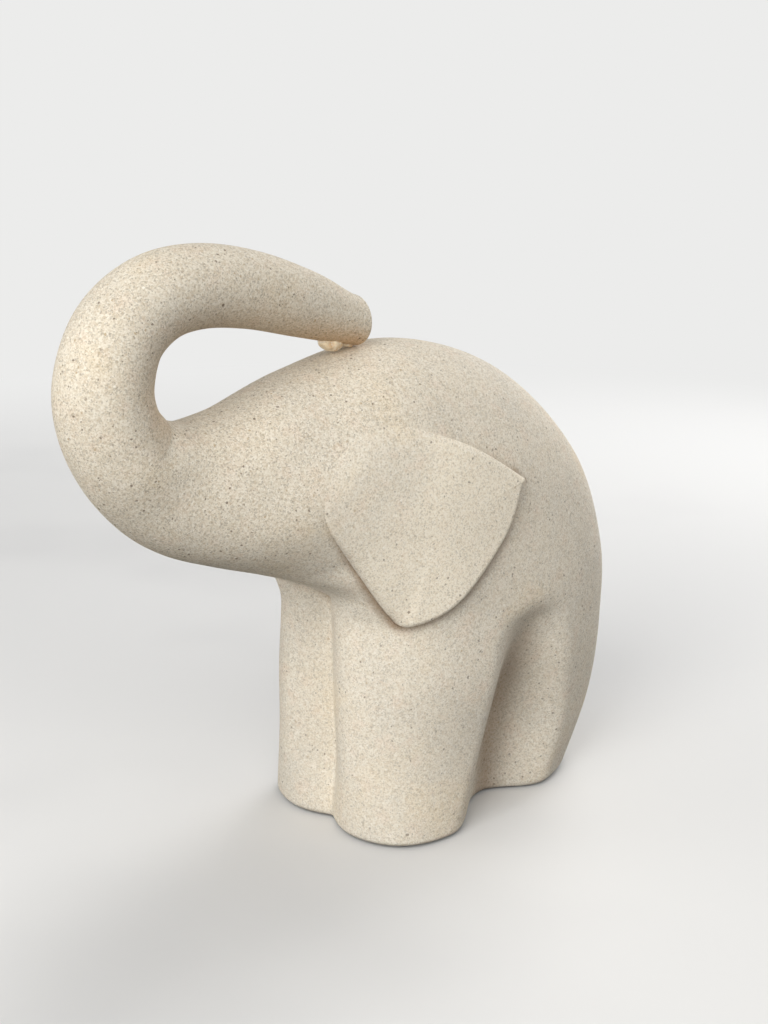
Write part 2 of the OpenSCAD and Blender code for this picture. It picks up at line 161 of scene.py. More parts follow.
@dataclass
class TrunkShape:
    """The trunk's line in the side view and its round sections.

    Each station is the middle of a section as (y, z), and its diameter.
    """

    stations: Rows = (
        (-168.8, 188.0, 40.3),
        (-175.9, 204.5, 39.0),
        (-176.0, 219.8, 37.8),
        (-168.5, 236.5, 36.0),
        (-152.5, 247.5, 34.5),
        (-132.0, 250.45, 33.2),
        (-107.5, 247.0, 31.4),
        (-81.0, 239.0, 28.2),
        (-52.6, 229.2, 21.8),
    )
    tip_dome: float = 1.9
    tip_flat_d: float = 19.8
    tip_tilt: float = 20.0
    line_step: float = 0.01
    nape_fill: float = 2.3
    nape_reach: float = 13.0
    nape_way: Pair = (0.08, 1.0)
    nape_wrap: float = 0.5

    def __post_init__(self) -> None:
        """Keeps the stations as rows of (y, z, radius)."""
        self.rows = np.array([(y, z, d / 2.0) for y, z, d in self.stations])
        self.last = len(self.rows) - 1
        self.nape = self.rows[0, :2] - self.outward(0.0) * self.rows[0, 2]

    def fill_nape(self, side: Array, angles: Array) -> Array:
        """Rounds the corner between trunk and head on the inside of the curl.

        Args:
            side: points as (y, z).
            angles: their places round the ring, in radians from the outside.

        Returns:
            The points, those near the corner moved out of it.
        """
        away = np.linalg.norm(side - self.nape, axis=-1) / self.nape_reach
        share = np.clip(1.0 - away**2, 0.0, 1.0) ** 3 * smooth(self.nape_wrap - np.cos(angles))
        return side + (self.nape_fill * share)[..., None] * np.array(self.nape_way)

    def row(self, t: Array) -> Array:
        """Returns (y, z, radius) at each place."""
        return along(self.rows, past(self.rows), t, bent_before(self.rows))

    def run(self, t: Array) -> Array:
        """Returns the direction that the section at each place faces.

        It is the direction of the trunk's run, turned up at the tip.
        """
        t = np.asarray(t, float)
        low, high = np.maximum(t - self.line_step, 0.0), np.minimum(t + self.line_step, self.last)
        step = self.row(high) - self.row(low)
        turn = math.radians(self.tip_tilt) * smooth(t - self.last + 1.0)
        angle = np.arctan2(step[..., 1], step[..., 0]) + turn
        return np.stack([np.cos(angle), np.sin(angle)], axis=-1)

    def outward(self, t: Array) -> Array:
        """Returns the direction from the middle to the outside of the curl."""
        run = self.run(t)
        return np.stack([-run[..., 1], run[..., 0]], axis=-1)

    def as_body_row(self, t: float) -> Array:
        """Returns a section as a row of the body: outer point, inner point, half width."""
        row, out = self.row(t), self.outward(t)
        return np.array([*(row[:2] + out * row[2]), *(row[:2] - out * row[2]), row[2]])

    def rings(self, levels: Array, angles: Array) -> Array:
        """Places the points of the trunk's rings.

        Args:
            levels: for each ring its place, how far it stands past it, and its share
                of the section's radius.
            angles: places round a ring, in radians from the outside of the curl.

        Returns:
            Points as rings by angles by (x, y, z).
        """
        t, beyond, share = levels.T
        row = self.row(t)
        r = (row[:, 2] * share)[:, None]
        side = (
            (row[:, :2] + self.run(t) * beyond[:, None])[:, None, :]
            + self.outward(t)[:, None, :] * (r * np.cos(angles))[..., None]
        )
        side = self.fill_nape(side, angles)
        return np.concatenate([(r * np.sin(angles))[..., None], side], axis=-1)


@dataclass
class BodyShape:
    """The body and head: a loft between a front line and a back line in the side view.

    Each station is the front (y, z), the back (y, z) and the width over the section.
    Each hollow is the state of the hollow between front and hind leg at a leg station:
    its place from 0 at the middle to 1 at the front edge, its depth as a share of the
    half width, its reach towards the front and the back, and the share by which the
    front legs stand wider than the hind legs.
    """

    trunk: TrunkShape
    felt_t: float = 1.0
    stations: Rows = (
        (-74.5, 1.0, 66.5, 1.0, 95.5),
        (-76.5, 36.0, 82.5, 39.0, 98.5),
        (-78.0, 71.0, 86.5, 78.0, 108.0),
        (-79.0, 106.0, 87.0, 112.5, 108.0),
        (-83.0, 118.0, 68.0, 161.0, 103.0),
        (-107.5, 128.0, 26.0, 201.0, 96.5),
        (-131.5, 136.5, -27.5, 218.4, 84.0),
        (-153.2, 145.6, -79.0, 213.0, 60.0),
        (-171.2, 158.6, -121.5, 201.0, 43.0),
    )
    hollows: Rows = (
        (-0.09, 0.4, 0.62, 0.46, 0.2),
        (-0.07, 0.46, 0.45, 0.42, 0.09),
        (-0.06, 0.26, 0.36, 0.34, 0.03),
        (-0.05, 0.0, 0.3, 0.26, 0.0),
    )
    hollow_soft: float = 0.14
    # painted shade: darkening in the bottom of the hollow between front and hind leg
    grime_share: float = 0.55
    grime_reach: float = 0.19
    foot_groove: float = 7.0
    front_groove: float = 12.0
    hind_groove: float = 10.0
    groove_spread: float = 0.5
    groove_softness: float = 0.06
    body_round: float = 2.5
    head_round: float = 2.05
    leg_round: float = 3.4
    cheek_round: float = 3.4
    cheek_place: float = 3.8
    cheek_reach: float = 1.1
    foot_round: float = 3.0
    chin_index: int = 3
    head_start: float = 0.5
    head_span: float = 2.0
    groove_end: float = 0.9
    groove_fade: float = 0.8
    search_steps: int = 24
    lead: float = 0.1
    nape_turn: float = 8.0

    def __post_init__(self) -> None:
        """Keeps the stations as rows, with the trunk's first section as the last row."""
        joint = self.trunk.as_body_row(0.0)
        rows = [(*front_back, width / 2.0) for *front_back, width in self.stations]
        self.rows = np.array([*rows, joint])
        self.last = len(self.rows) - 1
        brow = self.rows[-2]
        step = self.trunk.as_body_row(self.lead) - joint
        outer = 2.0 * np.linalg.norm(joint[:2] - brow[:2]) / np.linalg.norm(step[:2])
        inner = 2.0 * self.nape_turn / np.linalg.norm(step[2:4])
        self.after = brow + step * np.array([outer, outer, inner, inner, outer])
        self.hollow_rows = np.array(self.hollows)

    def row(self, t: Array) -> Array:
        """Returns (front y, front z, back y, back z, half width) at each place."""
        return along(self.rows, self.after, t)

    def roundness(self, t: Array, q: Array) -> Array:
        """Finds the power of the section's outline, where 2 is an ellipse.

        Args:
            t: places along the body.
            q: places across the side, where the cheeks are fuller ahead of 0.

        Returns:
            The power at each place.
        """
        legs = smooth(1.0 - t / self.chin_index)
        head = smooth((t - self.chin_index - self.head_start) / self.head_span)
        joint = smooth(t - self.last + 1.0)
        plain = mix(self.body_round, self.head_round, head)
        cheek = hump((t - self.cheek_place) / self.cheek_reach) * (q > 0.0)
        plain = mix(plain, self.cheek_round, cheek)
        return mix(mix(plain, self.leg_round, legs), 2.0, joint)

    def hollow(self, t: Array) -> Array:
        """Returns the state of the hollow at each place, number by number."""
        rows = self.hollow_rows
        return np.moveaxis(along(rows, rows[-1], np.minimum(t, self.chin_index)), -1, 0)

    def flank(self, t: Array, q: Array) -> Array:
        """Finds how much of the half width is left beside the hollow in the flank.

        Args:
            t: places along the body.
            q: places across the side, from -1 at the back edge to 1 at the front edge.

        Returns:
            The share of the half width.
        """
        place, depth, ahead, behind, taper = self.hollow(t)
        away = q - place
        reach = np.where(away > 0.0, ahead, behind)
        depth = depth * smooth(depth / self.hollow_soft)
        return (1.0 + taper * q) * (1.0 - depth * hump(away / reach))

    def grime(self, t: Array, angles: Array) -> Array:
        """Finds how much painted shade lies in the bottom of the hollow in the flank.

        Args:
            t: place of each ring.
            angles: places round a ring, in radians from its front.

        Returns:
            The share of painted shade for each ring and angle.
        """
        place, depth, *_ = self.hollow(np.asarray(t, float)[:, None])
        near = hump((np.cos(angles) - place) / self.grime_reach)
        return self.grime_share * near * smooth(depth / self.hollows[0][1])

    def points(self, t: Array, angles: Array, inset: Array) -> Array:
        """Places the points of the body's rings.

        Args:
            t: place of each ring.
            angles: places round a ring, in radians from its front.
            inset: how far each ring is drawn in.

        Returns:
            Points as rings by angles by (x, y, z).
        """
        t, inset = np.asarray(t, float)[:, None], np.asarray(inset, float)[:, None]
        row = self.row(t[:, 0])[:, None, :]
        front, back, half_width = row[..., 0:2], row[..., 2:4], row[..., 4]
        half = np.linalg.norm(front - back, axis=-1) / 2.0
        ahead = (front - back) / (2.0 * half[..., None])
        power = self.roundness(t, np.cos(angles))
        q, s = np.cos(angles), np.sin(angles)
        reach = np.power(np.abs(q) ** power + np.abs(s) ** power, -1.0 / power)
        q, s = reach * q, reach * s
        x = half_width * s * self.flank(t, q)
        front_depth = mix(self.foot_groove, self.front_groove, smooth(t))
        depth = np.where(q > 0.0, front_depth, self.hind_groove)
        fade = smooth((self.chin_index + self.groove_end - t) / self.groove_fade)
        cut = depth * fade * groove(x / (self.groove_spread * half_width), self.groove_softness)
        side = (front + back) / 2.0 + ahead * ((half - inset - cut) * q)[..., None]
        side = self.trunk.fill_nape(side, angles)
        shrink = 1.0 - inset / half_width
        return np.concatenate([(x * shrink)[..., None], side], axis=-1)

    def place_of(self, places: Array) -> Array:
        """Finds the place along the body whose section passes through each side-view point.

        Args:
            places: points as (y, z).

        Returns:
            One place for each point.
        """

        def side(t: Array) -> Array:
            """Returns a number whose sign tells the side of the section each point is on."""
            row = self.row(t)
            span, away = row[..., 0:2] - row[..., 2:4], places - row[..., 2:4]
            return span[..., 0] * away[..., 1] - span[..., 1] * away[..., 0]

        low = np.full(places.shape[:-1], 1.0)
        high = np.full(places.shape[:-1], float(self.last))
        for _ in range(self.search_steps):
            middle = (low + high) / 2.0
            same = side(middle) * side(low) > 0.0
            low, high = np.where(same, middle, low), np.where(same, high, middle)
        return (low + high) / 2.0

    def side_x(self, places: Array) -> Array:
        """Returns the body's half width at each side-view point (y, z)."""
        t = self.place_of(places)
        row = self.row(t)
        front, back = row[..., 0:2], row[..., 2:4]
        span = front - back
        q = 2.0 * np.sum((places - (front + back) / 2.0) * span, axis=-1) / np.sum(span**2, axis=-1)
        power = self.roundness(t, q)
        left = np.power(np.clip(1.0 - np.abs(q) ** power, 0.0, None), 1.0 / power)
        return row[..., 4] * left * self.flank(t, q)


@dataclass
class EarShape:
    """The outline of an ear in the side view and its height over the head.

    Each station is a point of the outline as (y, z), the share of the ear's full height
    there, and the strength and reach of the painted shadow on the head beside it, which
    at the front-lower edge stands for a dark seam line. The crease behind the corner is
    painted shade, a line from its darkest point to where it fades.
    """

    body: BodyShape
    stations: Rows = (
        (-4.6, 163.4, 1.3, 0.5, 4.0),
        (-3.3, 158.5, 1.25, 0.9, 5.5),
        (-13.5, 137.5, 0.99, 0.9, 6.5),
        (-39.5, 113.5, 1.0, 0.9, 6.0),
        (-59.0, 104.5, 1.2, 0.9, 4.5),
        (-67.0, 109.5, 1.05, 0.8, 3.0),
        (-84.0, 134.0, 0.75, 0.8, 2.6),
        (-101.0, 159.5, -0.2, 0.2, 2.0),
        (-93.0, 181.0, -0.4, 0.0, 2.0),
        (-69.0, 192.0, -0.25, 0.0, 2.0),
        (-34.0, 181.3, 0.9, 0.0, 2.0),
    )
    # the crease is painted shade: a dark line in the colour, not cut into the head
    crease: tuple[Pair, Pair] = ((-2.5, 160.5), (6.5, 157.5))
    crease_share: float = 0.8
    crease_reach: float = 2.4
    crease_steps: int = 12
    samples: int = 400
    free_height: float = 5.1
    root_height: float = -0.3
    root_blend: float = 2.0
    middle_share: float = 0.6
    sunk: float = 0.6
    edge_round: float = 3.2

    def __post_init__(self) -> None:
        """Keeps the outline as rows of (y, z, x), its middle and the flat that it lies near."""
        stations = np.array(self.stations)
        places = stations[:, :2]
        sides = self.body.side_x(places)
        lift = mix(self.root_height, self.free_height, stations[:, 2])
        self.rows = np.column_stack([places, sides + lift])
        self.centre = places.mean(axis=0)
        lift = mix(self.root_height, self.free_height, self.middle_share)
        self.middle_x = self.body.side_x(self.centre[None])[0] + lift
        level = np.column_stack([np.ones(len(places)), places - self.centre])
        near = sides + mix(self.root_height, self.free_height, np.maximum(stations[:, 2], 0.0))
        self.slope = np.linalg.lstsq(level, near, rcond=None)[0][1:]

    def edge(self, t: Array) -> Array:
        """Returns the outline's rows, where t goes once round from 0 to 1."""
        closed = np.vstack([self.rows, self.rows[0]])
        return along(closed, self.rows[1], np.asarray(t) * len(self.rows), self.rows[-1])

    def grime(self, points: Array) -> Array:
        """Finds how much painted shadow lies on the head beside the ear, with the dark seam line and
        the painted crease.

        Args:
            points: points of the head as (x, y, z).

        Returns:
            The share of the dark mark at each point.
        """
        turns = np.arange(self.samples) / self.samples
        outline = self.edge(turns)[:, :2]
        kinds = np.array(self.stations)[:, 3:]
        closed = np.vstack([kinds, kinds[0]])
        strength, reach = along(closed, kinds[1], turns * len(kinds), kinds[-1]).T
        crease = np.array(self.crease)
        steps = np.linspace(0.0, 1.0, self.crease_steps)[:, None]
        outline = np.vstack([outline, mix(crease[0], crease[1], steps)])
        strength = np.append(strength, self.crease_share * (1.0 - steps[:, 0]))
        reach = np.append(reach, np.full(self.crease_steps, self.crease_reach))
        out = np.zeros(len(points))
        for place, most, wide in zip(outline, strength, reach):
            away = np.hypot(points[:, 1] - place[0], points[:, 2] - place[1]) / wide
            out = np.maximum(out, most * np.clip(1.0 - away, 0.0, 1.0))
        return out

    def face(self, edge: Array, shares: Array) -> Array:
        """Returns points (y, z, x) on the ear's face, a leaning flat that bends to the edge.

        Args:
            edge: rows of the outline.
            shares: how far out from the middle each point lies, for each row.

        Returns:
            Points as shares by rows of the outline by (y, z, x).
        """
        away = edge[:, :2] - self.centre
        drop = edge[:, 2] - self.middle_x - away @ self.slope
        places = self.centre + away[None] * shares[..., None]
        x = self.middle_x + (away @ self.slope)[None] * shares + drop[None] * shares**2
        root = self.body.side_x(places) + self.root_height
        x = root + (x - root + np.hypot(x - root, self.root_blend)) / 2.0
        return np.concatenate([places, x[..., None]], axis=-1)


# ---- meshes


@dataclass
class MeshData:
    """Points, faces and the extras that a piece's mesh carries."""

    points: Array
    faces: list[tuple[int, ...]]
    flat_faces: list[int] = field(default_factory=list)
    normals: dict[int, Array] = field(default_factory=dict)
    masks: dict[str, Array] = field(default_factory=dict)

    def to_object(self, name: str) -> Object:
        """Makes the piece's object in metres, with smooth walls and flat ends.

        Args:
            name: name of the piece.

        Returns:
            The new object, linked to the scene.
        """
        mesh = bpy.data.meshes.new(name)
        mesh.from_pydata((self.points * MM).tolist(), [], self.faces)
        flat = set(self.flat_faces)
        mesh.polygons.foreach_set("use_smooth", [i not in flat for i in range(len(self.faces))])
        rims = {key for i in flat for key in mesh.polygons[i].edge_keys}
        for edge in mesh.edges:
            edge.use_edge_sharp = edge.key in rims
        if self.normals:
            loops = [(0.0, 0.0, 0.0)] * len(mesh.loops)
            for polygon in (polygon for polygon in mesh.polygons if polygon.index not in flat):
                for loop in polygon.loop_indices:
                    normal = self.normals.get(mesh.loops[loop].vertex_index, loops[loop])
                    loops[loop] = tuple(normal)
            mesh.normals_split_custom_set(loops)
        for mask, values in self.masks.items():
            layer = mesh.attributes.new(mask, "FLOAT", "POINT")
            layer.data.foreach_set("value", np.asarray(values, np.float32).ravel())
        mesh.validate()
        piece = bpy.data.objects.new(name, mesh)
        bpy.context.scene.collection.objects.link(piece)
        return piece


def ring_walls(rings: int, n: int, first: int = 0) -> list[tuple[int, ...]]:
    """Returns the quads between rings of n points, the first point being number first."""
    sides = [(j, (j + 1) % n) for j in range(n)]
    starts = range(first, first + (rings - 1) * n, n)
    return [(start + j, start + k, start + n + k, start + n + j) for start in starts for j, k in sides]


def tube_faces(rings: int, n: int) -> list[tuple[int, ...]]:
    """Returns the faces of a closed tube: its walls, its first end and its last end."""
    ends = [tuple(range(n - 1, -1, -1)), tuple(range((rings - 1) * n, rings * n))]
    return ring_walls(rings, n) + ends


def joint_normals(body: BodyShape, angles: Array) -> Array:
    """Finds the normals that body and trunk share at their joint.

    Args:
        body: the body, with its trunk.
        angles: places round the joint, in radians from its front.

    Returns:
        One outward unit normal for each angle.
    """
    before, ring = body.points(np.array([body.last - JOINT_STEP, body.last]), angles, np.zeros(2))
    after = body.trunk.rings(np.array([[JOINT_STEP, 0.0, 1.0]]), angles)[0]
    normals = np.cross(np.roll(ring, -1, axis=0) - np.roll(ring, 1, axis=0), after - before)
    return normals / np.linalg.norm(normals, axis=-1, keepdims=True)


# ---- shader groups


class Nodes:
    """Short way to place nodes in a material or a node group and join them."""

    def __init__(self, tree: NodeTree) -> None:
        """Keeps the tree that the nodes go in."""
        self.tree = tree

    def add(self, kind: str, **values: object) -> Node:
        """Places one node.

        Args:
            kind: Blender's name for the node, without the leading words.
            values: properties of the node, and sockets by name with _ for a space.

        Returns:
            The new node.
        """
        node = self.tree.nodes.new("ShaderNode" + kind)
        for name in [name for name in values if hasattr(node, name)]:
            setattr(node, name, values.pop(name))
        self.fill(node, **values)
        return node

    def put(self, socket: NodeSocket, value: object) -> None:
        """Joins an output to an input, or gives the input a plain value."""
        if isinstance(value, NodeSocket):
            self.tree.links.new(value, socket)
        else:
            socket.default_value = value

    def fill(self, node: Node, **values: object) -> None:
        """Fills a node's inputs, by their names with _ for a space."""
        for name, value in values.items():
            self.put(node.inputs[name.replace("_", " ")], value)

    def math(self, operation: str, *parts: object, kind: str = "Math") -> NodeSocket:
        """Returns the result of a sum on numbers or outputs, or on vectors for VectorMath."""
        node = self.add(kind, operation=operation)
        for socket, part in zip(node.inputs, parts):
            self.put(socket, part)
        return node.outputs[0]

    def noise(self, place: object, rate: object, detail: float, rough: float = 0.5) -> NodeSocket:
        """Returns soft noise with its rate per metre, its finer detail and their strength."""
        node = self.add("TexNoise", Vector=place, Scale=rate, Detail=detail, Roughness=rough)
        return node.outputs["Fac"]

    def times(self, a: object, b: object) -> NodeSocket:
        """Returns a times b."""
        return self.math("MULTIPLY", a, b)

    def plus(self, a: object, b: object) -> NodeSocket:
        """Returns a plus b."""
        return self.math("ADD", a, b)

    def ramp(self, value: object, low: object, high: object) -> NodeSocket:
        """Returns a soft step from 0 at low to 1 at high."""
        node = self.add("MapRange", interpolation_type="SMOOTHSTEP")
        self.fill(node, Value=value, From_Min=low, From_Max=high)
        return node.outputs["Result"]

    def blend(self, a: object, b: object, share: object, way: str = "MIX") -> NodeSocket:
        """Returns colour a turned into colour b by a share."""
        node = self.add("Mix", data_type="RGBA", blend_type=way)
        for number, part in ((0, share), (6, a), (7, b)):
            self.put(node.inputs[number], part)
        return node.outputs[2]

    def mask(self, name: str) -> NodeSocket:
        """Returns the mask of that name that a piece's mesh carries, or 0 without it."""
        return self.add("Attribute", attribute_name=name).outputs["Fac"]


def new_group(name: str, size: float, outputs: Sequence[str], **numbers: float) -> tuple:
    """Starts a shader node group that reads a place and a size in metres.

    Args:
        name: name of the group.
        size: size of its pattern where none is given.
        outputs: names of its outputs, which are all numbers.
        numbers: its other inputs and their values where none is given.

    Returns:
        The group, its node helper, its given values, its output node, the place and the
        rate of its pattern per metre.
    """
    tree = bpy.data.node_groups.new(name, "ShaderNodeTree")
    face, number = tree.interface, "NodeSocketFloat"
    face.new_socket("Vector", in_out="INPUT", socket_type="NodeSocketVector")
    for label, value in {"Size": size, **numbers}.items():
        face.new_socket(label, in_out="INPUT", socket_type=number).default_value = value
    for label in outputs:
        face.new_socket(label, in_out="OUTPUT", socket_type=number)
    n = Nodes(tree)
    given = tree.nodes.new("NodeGroupInput").outputs
    end = tree.nodes.new("NodeGroupOutput")
    return tree, n, given, end, given["Vector"], n.math("DIVIDE", 1.0, given["Size"])


def grain_group() -> NodeTree:
    """Builds the group that scatters grains of one size through the stone.

    Returns:
        The group. Each output is a mask for one kind of grain, or their height.
    """
    bend_rate, bend_size = 900.0, 0.0009
    least_radius, radius_spread, soft_edge = 0.5, 0.7, 0.55
    outputs = ("Dark", "Tan", "Light", "Height")
    tree, n, given, end, place, rate = new_group(
        "grain", 0.0009, outputs, Seed=0.0, Dark=0.1, Tan=0.2, Light=0.2, Fill=0.5
    )
    bend = n.add("TexNoise", Vector=place, Scale=bend_rate, Detail=1.0).outputs["Color"]
    moved = n.math("MULTIPLY_ADD", bend, (bend_size,) * 3, place, kind="VectorMath")
    moved = n.math("ADD", moved, given["Seed"], kind="VectorMath")
    cells = n.add("TexVoronoi", feature="F1", Vector=moved, Randomness=1.0, Scale=rate)
    kind, size, _ = n.add("SeparateColor", Color=cells.outputs["Color"]).outputs
    radius = n.times(given["Fill"], n.plus(n.times(size, radius_spread), least_radius))
    spot = n.ramp(cells.outputs["Distance"], radius, n.times(radius, soft_edge))
    limit, below = 0.0, 0.0
    for label in outputs[:3]:
        limit = n.plus(limit, given[label])
        reached = n.math("LESS_THAN", kind, limit)
        n.fill(end, **{label: n.times(n.math("SUBTRACT", reached, below), spot)})
        below = reached
    n.fill(end, Height=spot)
    return tree


def weather_group() -> NodeTree:
    """Builds the group for slow changes of tone over the stone.

    Returns:
        The group. Warm and Cool are patches of tone, and Mottle is a finer unevenness.
    """
    middle, warm_full, cool_full, mottle_rate = 0.5, 0.72, 0.28, 5.0
    tree, n, _, end, place, rate = new_group("weather", 0.03, ("Warm", "Cool", "Mottle"))
    patches = n.noise(place, rate, detail=3.0, rough=0.55)
    n.fill(end, Warm=n.ramp(patches, middle, warm_full), Cool=n.ramp(patches, middle, cool_full))
    n.fill(end, Mottle=n.noise(place, n.times(rate, mottle_rate), detail=2.0, rough=0.6))
    return tree


def drawn_metal_group() -> NodeTree:
    """Builds the group for drawn steel: fine lines along Z and dull patches.

    Returns:
        The group. Lines is a mask of drawing lines and Dull a mask of dull patches.
    """
    stretch, line_rate, dull_range = (1.0, 1.0, 0.04), 6.0, (0.4, 0.7)
    tree, n, _, end, place, rate = new_group("drawn_metal", 0.002, ("Lines", "Dull"))
    drawn = n.math("MULTIPLY", place, stretch, kind="VectorMath")
    n.fill(end, Lines=n.noise(drawn, n.times(rate, line_rate), detail=3.0))
    n.fill(end, Dull=n.ramp(n.noise(place, rate, detail=2.0), *dull_range))
    return tree


def fibre_group() -> NodeTree:
    """Builds the group for felt: short tangled fibres and small tufts.

    Returns:
        The group. Fibres and Tufts are masks, and Height is the felt's surface.
    """
    tuft_rate, tuft_height, tangle = 0.12, 0.6, 2.5
    fibre_range, tuft_range = (0.42, 0.6), (0.45, 0.7)
    tree, n, _, end, place, rate = new_group("fibres", 0.0005, ("Fibres", "Tufts", "Height"))
    strands = n.add("TexNoise", Vector=place, Scale=rate, Detail=4.0, Roughness=0.7, Distortion=tangle)
    strands = strands.outputs["Fac"]
    tufts = n.noise(place, n.times(rate, tuft_rate), detail=2.0)
    n.fill(end, Fibres=n.ramp(strands, *fibre_range), Tufts=n.ramp(tufts, *tuft_range))
    n.fill(end, Height=n.plus(strands, n.times(tufts, tuft_height)))
    return tree


class Effect(Enum):
    """The shader node groups that the finishes share."""

    GRAIN = "grain"
    WEATHER = "weather"
    DRAWN_METAL = "drawn_metal"
    FIBRES = "fibres"


GROUP_MAKERS: dict[Effect, Callable[[], NodeTree]] = {
    Effect.GRAIN: grain_group,
    Effect.WEATHER: weather_group,
    Effect.DRAWN_METAL: drawn_metal_group,
    Effect.FIBRES: fibre_group,
}


def effect(n: Nodes, which: Effect, where: NodeSocket, **values: float) -> Sockets:
    """Places a shared effect in a material, and builds its group the first time.

    Args:
        n: helper of the material's tree.
        which: the effect.
        where: where on the surface the effect is read.
        values: the effect's own numbers.

    Returns:
        The effect's outputs.
    """
    tree = bpy.data.node_groups.get(which.value) or GROUP_MAKERS[which]()
    node = n.add("Group", node_tree=tree)
    n.fill(node, Vector=where, **values)
    return node.outputs


def new_material(name: str) -> tuple:
    """Starts a material.

    Args:
        name: name of the material.

    Returns:
        The material, its node helper, its shader and the object's own coordinates.
    """
    material = bpy.data.materials.new(name)
    material.use_nodes = True
    shader = material.node_tree.nodes["Principled BSDF"]
    n = Nodes(material.node_tree)
    place = n.add("TexCoord").outputs["Object"]
    return material, n, shader, place


def surface(n: Nodes, shader: Node, look: object, height: NodeSocket, **values: object) -> None:
    """Fills a shader's inputs by name, and gives it the look's bumps from a height."""
    bump = n.add("Bump", Strength=look.bump, Distance=look.bump_depth, Height=height)
    n.fill(shader, Normal=bump.outputs["Normal"], **values)


# ---- finishes


@dataclass(frozen=True)
class Grains:
    """One layer of grains: their size in metres, the share of each kind and their strength."""

    size: float
    seed: float
    dark: float
    tan: float
    light: float
    fill: float
    strength: float

    def place(self, n: Nodes, where: NodeSocket) -> Sockets:
        """Returns the outputs of the grain effect with this layer's numbers."""
        numbers = {name.title(): value for name, value in vars(self).items() if name != "strength"}
        return effect(n, Effect.GRAIN, where, **numbers)


@dataclass(frozen=True)
class Sandstone:
    """Cast sandstone: matte, cream, with brown, tan and pale grains and warm tints.

    A mesh may carry masks: pale for paler stone, partly painted light; shade for slightly
    darker stone, partly painted shade; warm for a warm darker tint; and a dark mask for
    painted shade beside the ears, in a crease and in the hollows, with a dark seam line.
    The grains are crisper where the shade mask is set.
    """

    name: str = "sandstone"
    base: Colour = colour(226, 217, 200)
    cool: Colour = colour(215, 208, 194)
    warm: Colour = colour(231, 216, 190)
    rosy: Colour = colour(226, 209, 190)
    dark: Colour = colour(112, 95, 78)
    tan: Colour = colour(188, 166, 134)
    light: Colour = colour(248, 243, 233)
    # paler stone for the ears, partly painted light
    pale: Colour = colour(241, 230, 209)
    # slightly darker stone for the head and trunk, partly painted shade
    shade: Colour = colour(246, 245, 243)
    # warm darker tint under the trunk, stronger near its tip
    stain: Colour = colour(222, 184, 138)
    # dark colour for painted shade beside the ears, in the crease and in the hollows, and for a dark
    # seam line
    grime: Colour = colour(158, 128, 98)
    layers: tuple[Grains, ...] = (
        Grains(0.00055, 3.0, 0.2, 0.24, 0.3, 1.0, 0.27),
        Grains(0.00095, 0.0, 0.12, 0.2, 0.24, 0.75, 0.21),
        Grains(0.0024, 7.0, 0.17, 0.1, 0.02, 0.25, 0.6),
        Grains(0.0075, 9.0, 0.22, 0.05, 0.0, 0.12, 0.65),
    )
    patch_size: float = 0.04
    patch_share: float = 0.7
    cloud_size: float = 0.009
    rosy_share: float = 0.5
    cool_share: float = 0.4
    mottle_range: Pair = (0.62, 0.3)
    mottle_share: float = 0.16
    pale_share: float = 0.6
    extra_crisp: float = 0.3
    roughness: float = 0.84
    mottle_roughness: float = 0.1
    specular: float = 0.2
    bump: float = 0.35
    bump_depth: float = 0.00025

    def make(self) -> Material:
        """Returns the material."""
        material, n, shader, place = new_material(self.name)
        patches = effect(n, Effect.WEATHER, place, Size=self.patch_size)
        clouds = effect(n, Effect.WEATHER, place, Size=self.cloud_size)
        mottle = n.ramp(clouds["Mottle"], *self.mottle_range)
        tone = self.base
        for tint, mask, share in (
            (self.warm, patches["Warm"], self.patch_share),
            (self.cool, patches["Cool"], self.patch_share),
            (self.rosy, clouds["Warm"], self.rosy_share),
            (self.cool, clouds["Cool"], self.cool_share),
            (self.tan, mottle, self.mottle_share),
            # paler ear stone, partly painted light
            (self.pale, n.mask("pale"), self.pale_share),
        ):
            tone = n.blend(tone, tint, n.times(mask, share))
        height, shade = clouds["Mottle"], n.mask("shade")
        crisp = n.plus(n.times(shade, self.extra_crisp), 1.0)
        for grains in self.layers:
            layer = grains.place(n, place)
            share = n.times(crisp, grains.strength)
            for label, grain in (("Light", self.light), ("Tan", self.tan), ("Dark", self.dark)):
                tone = n.blend(tone, grain, n.times(layer[label], share))
            height = n.plus(height, n.times(layer["Height"], grains.strength))
        # slightly darker head and trunk, partly painted shade
        tone = n.blend(tone, self.shade, shade, "MULTIPLY")
        # warm darker tint under the trunk
        tone = n.blend(tone, self.stain, n.mask("warm"), "MULTIPLY")
        # painted shade beside the ears, in the crease and in the hollows, with a dark seam line
        tone = n.blend(tone, self.grime, n.mask("grime"), "MULTIPLY")
        rough = n.plus(n.times(mottle, self.mottle_roughness), self.roughness)
        values = {"Base_Color": tone, "Roughness": rough, "Specular_IOR_Level": self.specular}
        surface(n, shader, self, height, **values)
        return material


